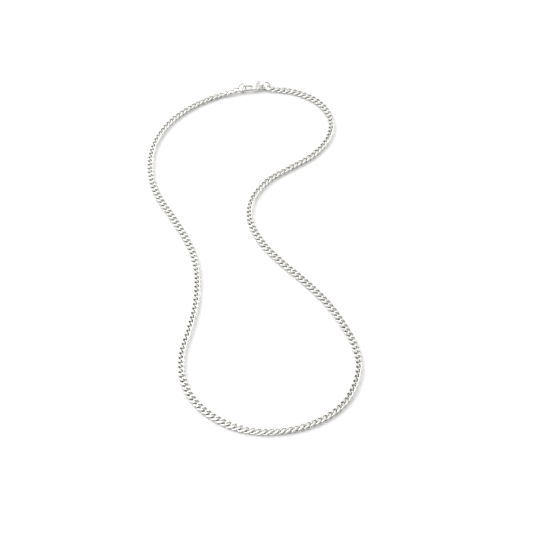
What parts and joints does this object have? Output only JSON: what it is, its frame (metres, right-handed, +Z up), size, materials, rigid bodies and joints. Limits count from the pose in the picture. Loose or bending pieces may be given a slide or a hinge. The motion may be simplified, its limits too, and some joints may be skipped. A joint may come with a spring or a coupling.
{
  "type": "curb chain necklace",
  "caption": "Flat curb chain necklace closed by a lobster clasp with a sprung lever and two jump rings, lying in a loose wavy loop.",
  "frame": {"origin": "centre of the outline seen from above, on the surface that the necklace lies on", "axes": "+Z up, +Y towards the clasp, away from the viewer of the picture, +X to that viewer's right"},
  "size_m": [0.0884, 0.1993, 0.004],
  "materials": {
    "polished_silver": "polished sterling silver, with fine wear"
  },
  "bodies": {
    "necklace": {"curb_chain": "polished_silver", "end_link_left": "polished_silver", "end_link_right": "polished_silver", "end_ring": "polished_silver", "jump_ring": "polished_silver", "clasp_body": "polished_silver", "clasp_rivet": "polished_silver"},
    "lever": {"clasp_lever": "polished_silver"}
  },
  "joints": [
    {"name": "lever_hinge", "type": "hinge", "parent": "necklace", "child": "lever", "pos_m": [0.0026, 0.0964, 0.0016], "axis": [0, 0, 1], "range_deg": [0, 22], "stiffness_Nm_per_rad": 0.002, "springref_deg": -20.05}
  ]
}
